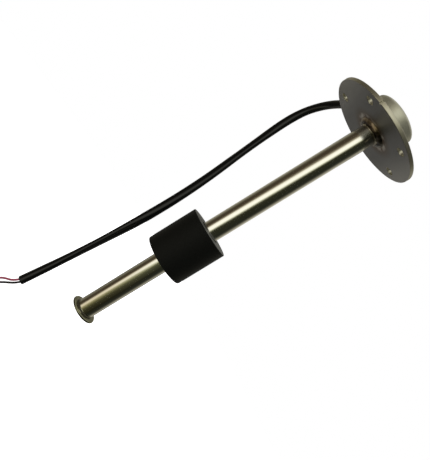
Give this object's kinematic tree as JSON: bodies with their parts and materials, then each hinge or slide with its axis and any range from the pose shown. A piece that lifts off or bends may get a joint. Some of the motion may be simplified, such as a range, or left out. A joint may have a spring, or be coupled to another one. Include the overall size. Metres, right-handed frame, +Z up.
{
  "type": "float level switch",
  "caption": "Float level switch: a foam float with a ring magnet slides on a flanged steel stem and closes reed switches inside it; a cable leaves the round head.",
  "frame": {"origin": "centre of the flange's underside, the mounting face, on the stem's axis", "axes": "+Z up along the stem, out of the tank towards the head can; +X from the stem through one flange hole"},
  "size_m": [0.0782, 0.1021, 0.2682],
  "materials": {
    "flange_steel": "matte",
    "can_steel": "satin",
    "stem_steel": "polished",
    "weld_steel": "satin",
    "float_foam": "satin",
    "ferrite": "matte",
    "retainer_plastic": "matte",
    "grommet_rubber": "matte",
    "sheath_pvc": "satin",
    "red_pvc": "satin",
    "black_pvc": "satin",
    "tinned_copper": "satin",
    "board_laminate": "satin",
    "sleeve_plastic": "satin",
    "reed_glass": "gloss",
    "reed_leads": "satin",
    "resistor_ceramic": "matte"
  },
  "bodies": {
    "sensor": {"cable_grommet": "grommet_rubber", "cable_sheath": "sheath_pvc", "circuit_board": "board_laminate", "core_black": "black_pvc", "core_red": "red_pvc", "core_tip_black": "tinned_copper", "core_tip_red": "tinned_copper", "end_plug": "stem_steel", "end_weld": "weld_steel", "head_can": "can_steel", "inner_wire_black": "black_pvc", "inner_wire_red": "red_pvc", "insulating_sleeve": "sleeve_plastic", "mounting_flange": "flange_steel", "reed_glass_1": "reed_glass", "reed_glass_2": "reed_glass", "reed_glass_3": "reed_glass", "reed_glass_4": "reed_glass", "reed_glass_5": "reed_glass", "reed_glass_6": "reed_glass", "reed_glass_7": "reed_glass", "reed_leads_1": "reed_leads", "reed_leads_2": "reed_leads", "reed_leads_3": "reed_leads", "reed_leads_4": "reed_leads", "reed_leads_5": "reed_leads", "reed_leads_6": "reed_leads", "reed_leads_7": "reed_leads", "resistor_1": "resistor_ceramic", "resistor_2": "resistor_ceramic", "resistor_3": "resistor_ceramic", "resistor_4": "resistor_ceramic", "resistor_5": "resistor_ceramic", "resistor_6": "resistor_ceramic", "stem_tube": "stem_steel", "stem_weld": "weld_steel"},
    "float": {"float_body": "float_foam", "float_magnet": "ferrite", "magnet_retainer": "retainer_plastic"}
  },
  "joints": [
    {"name": "float_slide", "type": "slide", "parent": "sensor", "child": "float", "axis": [0, 0, 1], "range_m": [-0.0568, 0.1075]}
  ]
}
